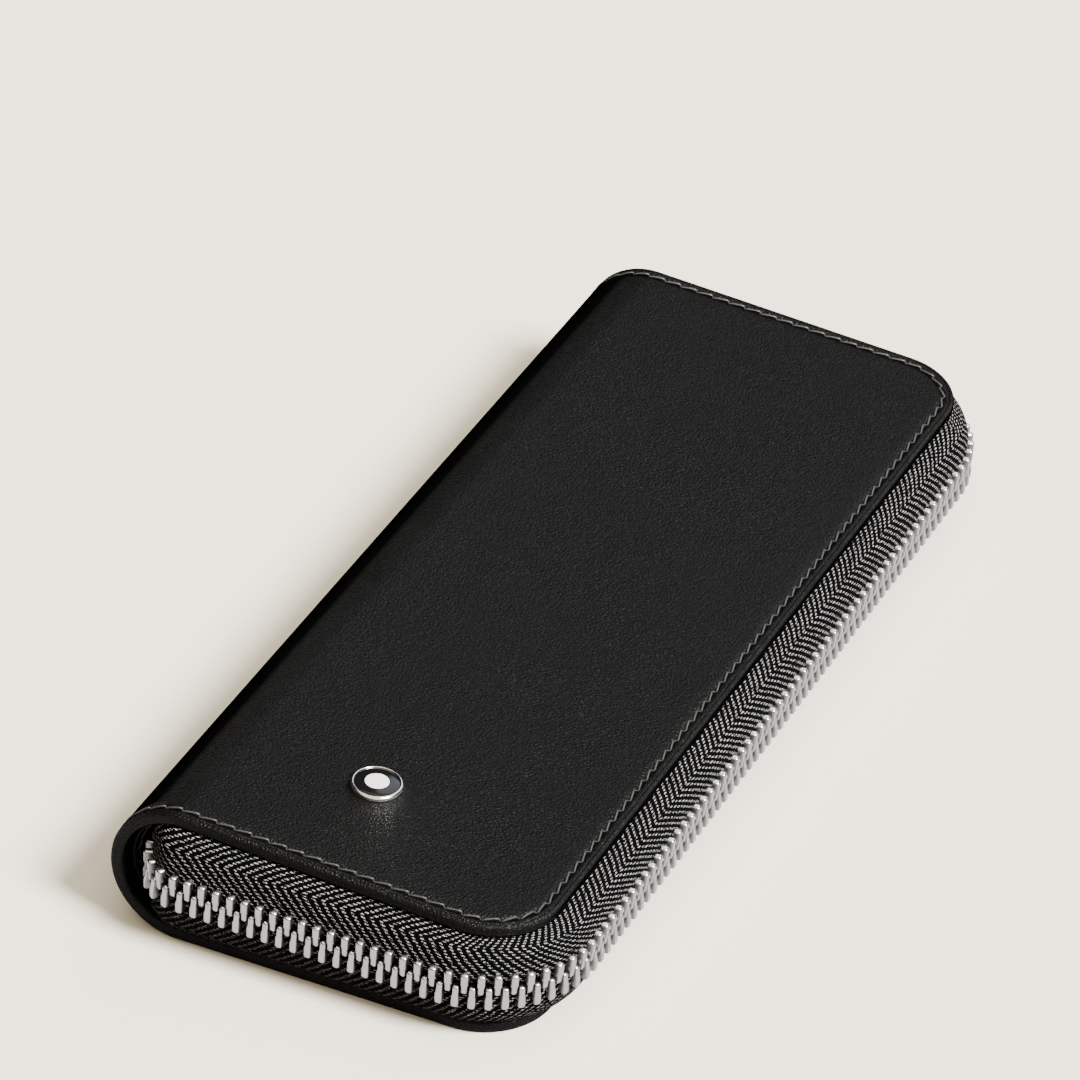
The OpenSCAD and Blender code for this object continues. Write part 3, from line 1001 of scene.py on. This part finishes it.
holderShape = {
    "sleeve": {
        "r": 6.9, "wall": 0.9, "side": 5.3, "flange": 2.4, "from": -76, "to": 2,
        "closed": True, "thick": 0.8, "paint": "lining",
    },
    "loop": {
        "r": 6.6, "wall": 0.8, "side": 5.3, "flange": 2.4, "from": 43, "to": 54,
        "closed": False, "thick": 0.7, "paint": "elastic",
    },
    "floor": 2.82,
    "x": 11,
    "stitchPitch": 2.9,
    "stitchInset": 0.9,
}


def tunnelOutline(spec):
    # outer line of a tunnel's cross-section, from the end of one flange over the top to the other
    reach, side, flange = spec["r"] + spec["wall"], spec["side"], spec["flange"]
    foot = [(flange, 0.0), (flange - 0.1, 0.55), (1.2, 0.62), (0.5, 0.7), (0.1, 1.1), (0, 1.8)]
    line = [(-reach - out, z) for out, z in foot]
    line += [(-reach * math.cos(a), side + reach * math.sin(a)) for a in samples(0, quarter, 0.1)]
    return line + [(-x, z) for x, z in reversed(line[:-1])]


def closeEnd(piece, y):
    # fills the end of a tunnel with one face
    nearly = 0.000001
    activate(piece)
    bpy.ops.object.mode_set(mode="EDIT")
    bpy.ops.mesh.select_mode(type="VERT")
    bpy.ops.mesh.select_all(action="DESELECT")
    bpy.ops.object.mode_set(mode="OBJECT")
    for v in piece.data.vertices:
        v.select = abs(v.co.y - y * mm) < nearly
    bpy.ops.object.mode_set(mode="EDIT")
    bpy.ops.mesh.edge_face_add()
    bpy.ops.object.mode_set(mode="OBJECT")


def holder(name, kind, x):
    spec, floor = holderShape[kind], holderShape["floor"]
    outline = tunnelOutline(spec)
    ys = samples(spec["from"], spec["to"], meshStep["holder"])
    run = [0]
    for p, q in zip(outline, outline[1:]):
        run.append(run[-1] + math.dist(p, q))

    def place(i, j):
        (px, pz), y = outline[j], ys[i]
        shrink, mouth = 1, 0
        if spec["closed"]:
            shrink = 0.86 + 0.14 * eased((y - spec["from"]) / 6)  # the bottom end draws in
            mouth = 0.25 * eased((y - spec["to"] + 2) / 2)
        sag = 0.15 * math.sin(y * 0.21) * math.sin(run[j] * 0.3)
        lift = (mouth + sag) * (pz > 2)  # the flanges lie flat
        return Vector((x + px * shrink, y, floor + pz * shrink + lift)), (run[j], y)

    piece = loft(name, len(ys), len(outline), place)
    if spec["closed"]:
        closeEnd(piece, spec["from"])
    middle = Vector((x, (spec["from"] + spec["to"]) / 2, 3)) * mm
    tidied(piece, outward=lambda p: p - middle)
    applied(piece, "SOLIDIFY", thickness=spec["thick"] * mm, offset=-1)
    rounded(piece, 0.12, 2, 60)
    smooth(piece, 45)
    dress(piece, paint[spec["paint"]])
    return piece


def holderStitches(name, kind, x):
    # stitches along both flanges of a holder
    spec = holderShape[kind]
    pattern = oneStitch()
    copies = []
    for side in (-1, 1):
        offset = x + side * (spec["r"] + spec["wall"] + spec["flange"] - holderShape["stitchInset"])
        for y in samples(spec["from"] + 2, spec["to"] - 2, holderShape["stitchPitch"]):
            seam = Vector((offset, y, holderShape["floor"] + 0.58)) * mm
            new = copyOf(pattern)
            new.data.transform(Matrix.Translation(seam) @ Matrix.Rotation(quarter, 4, "Z"))
            copies.append(new)
    bpy.data.objects.remove(pattern)
    row = joined(name, copies)
    dress(row, paint["thread"])
    handOver(row, [], "thread", "back")


def holders():
    for side, word in ((-1, "left"), (1, "right")):
        for kind in ("sleeve", "loop"):
            name = kind.title() + word.title()
            x = side * holderShape["x"]
            piece = holder(name, kind, x)
            handOver(piece, [f"pen_{kind}_{word}"], holderShape[kind]["paint"], "back")
            holderStitches(name + "Stitches", kind, x)


sliderShape = {
    "x": -13.5,
    "length": 11,
    "gap": 1.35,  # from the middle of the zip to each plate
    "plate": 1.05,
    "half": 4.2,
    "taper": 1.4,
    "sunkField": {"least": 8, "rim": 0.7, "slope": 0.25, "depth": 0.1},
    "lip": 0.7,
    "lipGap": 0.6,
    "lipTo": 0.5,
    "post": [(-5.1, -1), (-3.5, -0.5), (-3.5, 0.5), (-5.1, 1)],
    "postHalf": 1.5,
    "pivot": (-0.5, 3.35),
    "bailReach": 2.48,
    "bailRise": 2.38,
    "bailSquareness": 0.55,
    "bailSize": (1.6, 1.16),
}
pullerShape = {
    "bar": 1.2,
    "barLength": 4.4,
    "thick": 1.1,
    "armBack": -0.5,
    "armOverlap": 0.6,
    "armInner": 1.2,
    "armOuter": 2.2,
    "tabFrom": 4.2,
    "shoulder": 2,
    "width": 6.4,
    "length": 24,
    "sunkField": {"least": 30, "rim": 0.8, "slope": 0.3, "depth": 0.14},
}


def slab(name, outline, low, high, bevel, field=None):
    # the outline (x, z) filled and extruded from y low to high, with rounded edges
    # field gives both faces a sunk part with a raised rim
    deselect()
    bpy.ops.mesh.primitive_circle_add(vertices=len(outline), radius=1, fill_type="NGON")
    obj = bpy.context.active_object
    obj.name = obj.data.name = name
    for v, (x, z) in zip(obj.data.vertices, outline):
        v.co = Vector((x, low, z)) * mm
    inEditMode(obj)
    bpy.ops.mesh.extrude_region_move(TRANSFORM_OT_translate={"value": (0, (high - low) * mm, 0)})
    bpy.ops.mesh.select_all(action="SELECT")
    bpy.ops.mesh.normals_make_consistent(inside=False)
    bpy.ops.object.mode_set(mode="OBJECT")
    rounded(obj, bevel, 3)
    for side in (-1, 1) if field else ():
        for face in obj.data.polygons:
            face.select = face.normal.y * side > 0.99 and face.area > field["least"] * mm * mm
        bpy.ops.object.mode_set(mode="EDIT")
        bpy.ops.mesh.select_mode(type="FACE")
        bpy.ops.mesh.inset(thickness=field["rim"] * mm)
        bpy.ops.mesh.inset(thickness=field["slope"] * mm)
        bpy.ops.transform.translate(value=(0, -side * field["depth"] * mm, 0))
        bpy.ops.object.mode_set(mode="OBJECT")
    return smooth(obj, 40)


def oblong(x0, z0, x1, z1):
    return [(x0, z0), (x1, z0), (x1, z1), (x0, z1)]


def roundedOutline(corners, radius, steps=6):
    found = []
    for i, corner in enumerate(corners):
        p, before, after = Vector(corner), Vector(corners[i - 1]), Vector(corners[(i + 1) % len(corners)])
        a = p + (before - p).normalized() * radius
        b = p + (after - p).normalized() * radius
        for k in range(steps + 1):
            t = k / steps
            found.append(tuple((1 - t) ** 2 * a + 2 * t * (1 - t) * p + t * t * b))
    return found


def onSlider(obj):
    for v in obj.data.vertices:
        x, y, z = v.co / mm
        v.co = onZipPlane(sliderShape["x"] + x, zipY + y, z) * mm
    return obj


def arch(name, path, wide, thick):
    # a rounded bar bent along a path in the x-y plane
    section = roundedOutline(oblong(-thick / 2, -wide / 2, thick / 2, wide / 2), 0.35, 3)

    def place(i, j):
        p = Vector(path[i])
        ahead = (Vector(path[min(i + 1, len(path) - 1)]) - Vector(path[max(i - 1, 0)])).normalized()
        a, z = section[j % len(section)]
        return Vector((p.x - ahead.y * a, p.y + ahead.x * a, z)), (i, j)

    return tidied(loft(name, len(path), len(section) + 1, place), merge=0.000002)


def sliderBody():
    s = sliderShape
    half, long, taper = s["half"], s["length"] / 2, s["taper"]
    shoulder, tip = 0.2, long - 0.2
    shield = [(-long, -half), (shoulder, -half), (tip, -half + taper), (long, 0)]
    shield += [(tip, half - taper), (shoulder, half), (-long, half)]
    parts = []
    for side in (-1, 1):
        low, high = sorted((side * s["gap"], side * (s["gap"] + s["plate"])))
        parts.append(slab("Plate", roundedOutline(shield, 1.1), low, high, 0.3, s["sunkField"]))
        for edge in (-1, 1):
            low, high = sorted((side * s["lipGap"], side * (s["gap"] + 0.2)))
            inner, outer = sorted((edge * half, edge * (half - s["lip"])))
            lip = oblong(-long + 1, inner, s["lipTo"], outer)
            parts.append(slab("Lip", roundedOutline(lip, 0.25, 3), low, high, 0.08))
    parts.append(slab("Post", roundedOutline(s["post"], 0.3), -s["postHalf"], s["postHalf"], 0.05))
    return onSlider(joined("SliderBody", parts))


def sliderBail():
    s = sliderShape
    outside = s["gap"] + s["plate"]
    foot, top = outside - 0.05, outside + s["bailRise"]
    bend = []
    for a in samples(0, math.pi, 0.11):
        across = math.copysign(abs(math.cos(a)) ** s["bailSquareness"], math.cos(a))
        up = abs(math.sin(a)) ** s["bailSquareness"]
        bend.append((s["pivot"][0] + s["bailReach"] * across, foot + (top - foot) * up))
    return onSlider(arch("SliderBail", bend, *s["bailSize"]))


def pullerTab():
    s = pullerShape
    wide, start, half = s["width"] / 2, s["tabFrom"], s["thick"] / 2
    end, neck = s["length"] - wide, start + s["shoulder"]
    outline = [(start, -s["armOuter"]), (neck, -wide)]
    outline += [(end + wide * math.sin(a), -wide * math.cos(a)) for a in samples(0, math.pi, 0.16)]
    outline += [(neck, wide), (start, s["armOuter"])]
    pieces = [slab("Tab", outline, -half, half, 0.26, s["sunkField"])]
    for side in (-1, 1):
        arm = oblong(s["armBack"], side * s["armInner"], start + s["armOverlap"], side * s["armOuter"])
        pieces.append(slab("Arm", roundedOutline(arm, 0.3, 4), -half, half, 0.2))
    deselect()
    bpy.ops.mesh.primitive_cylinder_add(vertices=32, radius=s["bar"] / 2 * mm, depth=s["barLength"] * mm)
    pieces.append(smooth(rounded(bpy.context.active_object, 0.15, 2), 40))
    puller = joined("PullerTab", pieces)
    for v in puller.data.vertices:
        v.co += Vector((*sliderShape["pivot"], 0)) * mm
    return onSlider(puller)


def sliderPieces():
    for piece, node, body in (
        (sliderBody(), "slider_body", "slider"),
        (sliderBail(), "slider_bail", "slider"),
        (pullerTab(), "puller_tab", "puller"),
    ):
        dress(piece, paint["slider"])
        handOver(piece, [node], "slider_metal", body)


stopShape = {
    "top": {"low": -3.3, "high": -1.3, "size": (1.6, 2.2)},
    "bottom": {"low": -3.0, "high": 0.9, "size": (2.2, 1.8)},
    "topFromSpine": 3.45,
    "bottomPastTail": 0.7,
    "pinch": 0.14,
}


def stop(name, node, spec, body, x, y):
    # a clamped metal block on the tape's edge, pinched along its middle
    front = body == "front"
    flip = mirrored if front else same
    low, high = spec["low"], spec["high"]
    deselect()
    bpy.ops.mesh.primitive_cube_add(size=1)
    block = bpy.context.active_object
    block.name = block.data.name = name
    bpy.ops.object.mode_set(mode="EDIT")
    size = Vector((*spec["size"], high - low)) * mm
    bpy.ops.transform.resize(value=size, center_override=(0, 0, 0))
    bpy.ops.mesh.bevel(offset=0.3 * mm, segments=3, profile=0.5, affect="EDGES")
    bpy.ops.mesh.select_all(action="SELECT")
    bpy.ops.mesh.bisect(plane_co=(0, 0, 0), plane_no=(0, 0, 1))
    bpy.ops.mesh.select_all(action="SELECT")
    bpy.ops.mesh.normals_make_consistent(inside=False)
    if front:
        bpy.ops.mesh.flip_normals()
    bpy.ops.object.mode_set(mode="OBJECT")
    for v in block.data.vertices:
        px, py, pz = v.co / mm
        pinch = 1 - stopShape["pinch"] * math.exp(-((pz / 0.4) ** 2))
        v.co = flip(onZipPlane(x + px * pinch, y + py * pinch, pz + (low + high) / 2)) * mm
    smooth(block, 50)
    dress(block, paint["teeth"])
    handOver(block, [node], "teeth", body)


def stops():
    topX = spineX + stopShape["topFromSpine"]
    stop("TopStopBack", "back_top_stop", stopShape["top"], "back", topX, zipY)
    stop("TopStopFront", "front_top_stop", stopShape["top"], "front", topX, zipY)
    tailY = case["curlR"] - zipY + case["tail"] + stopShape["bottomPastTail"]
    stop("BottomStop", "bottom_stop", stopShape["bottom"], "back", curlX - case["curlR"], tailY)


stageShape = {
    "eye": (375.8, -869.9, 677.1),
    "forward": (-0.32976, 0.75585, -0.56564),
    "right": (0.90491, 0.42382, 0.03878),
    "lens": 255,
    "sensor": 36,
    "world": 0.03,
    "worldColour": (1.0, 0.985, 0.96),
    "floorSize": 6,
    "floorZ": -0.0001,
}
sunLooks = {
    "Key": {"from": (1.0, -0.22, 1.05), "angle": 20, "power": 11.7, "colour": (1.0, 0.99, 0.985)},
    "Fill": {"from": (0.25, -0.3, 1.0), "angle": 100, "power": 2.9, "colour": (1.0, 0.86, 0.66)},
    "Sheen": {"from": (0.1, 0.73, 0.64), "angle": 40, "power": 1.15, "colour": (0.87, 0.93, 0.99)},
}
# the floor's colour as the camera sees it, as a shiny piece mirrors it and as it lights the case
floorLook = {"seen": (0.965, 0.912, 0.757), "mirrored": (0.3, 0.295, 0.29), "bounced": (0.05, 0.048, 0.045)}


def sun(name, spec):
    data = bpy.data.lights.new(name, "SUN")
    data.angle = math.radians(spec["angle"])
    data.energy = spec["power"]
    data.color = spec["colour"]
    lamp = bpy.data.objects.new(name, data)
    bpy.context.collection.objects.link(lamp)
    lamp.rotation_euler = Vector(spec["from"]).to_track_quat("Z", "Y").to_euler()


def camera():
    data = bpy.data.cameras.new("Camera")
    data.lens = stageShape["lens"]
    data.sensor_width = stageShape["sensor"]
    data.clip_start, data.clip_end = 0.05, 20
    cam = bpy.data.objects.new("Camera", data)
    bpy.context.collection.objects.link(cam)
    forward, right = Vector(stageShape["forward"]).normalized(), Vector(stageShape["right"]).normalized()
    up = right.cross(forward).normalized()
    cam.rotation_mode = "QUATERNION"
    cam.rotation_quaternion = Matrix((right, up, -forward)).transposed().to_quaternion()
    cam.location = Vector(stageShape["eye"]) * mm
    bpy.context.scene.camera = cam


def paperFloor():
    deselect()
    bpy.ops.mesh.primitive_plane_add(size=stageShape["floorSize"], location=(0, 0, stageShape["floorZ"]))
    floor = bpy.context.active_object
    floor.name = "Floor"
    m, tree, shader, vector = newMaterial("Pale paper floor")
    rays = tree.nodes.new("ShaderNodeLightPath").outputs
    unseen = mixColour(tree, rays["Is Glossy Ray"], floorLook["bounced"], floorLook["mirrored"])
    feed(tree, shader["Base Color"], mixColour(tree, rays["Is Camera Ray"], unseen, floorLook["seen"]))
    feed(tree, shader["Roughness"], 0.9)
    feed(tree, shader["Specular IOR Level"], 0.1)
    dress(floor, m)


def studio():
    camera()
    for name, spec in sunLooks.items():
        sun(name + " light", spec)
    world = bpy.data.worlds.new("Studio")
    world.use_nodes = True
    background = world.node_tree.nodes["Background"].inputs
    background["Color"].default_value = (*stageShape["worldColour"], 1)
    background["Strength"].default_value = stageShape["world"]
    bpy.context.scene.world = world
    paperFloor()


coverPieces()
for front in (False, True):
    stitches(front)
    tapePieces(front)
    teeth(front)
    stitches(front, inner=True)
    print("stitches, tape and teeth", "front" if front else "back")
emblem()
holders()
print("emblem and pen holders")
sliderPieces()
stops()
print("slider and stops")
slotPaint = {"emblem_metal": "ring", "emblem_disc": "resin", "slider_metal": "slider"}
for part in frame["record"]["subparts"]:
    slot = part["material_slot"]
    dress(frame["nodes"][part["node"]], paint[slotPaint.get(slot, slot)])
studio()
print("stage ready")
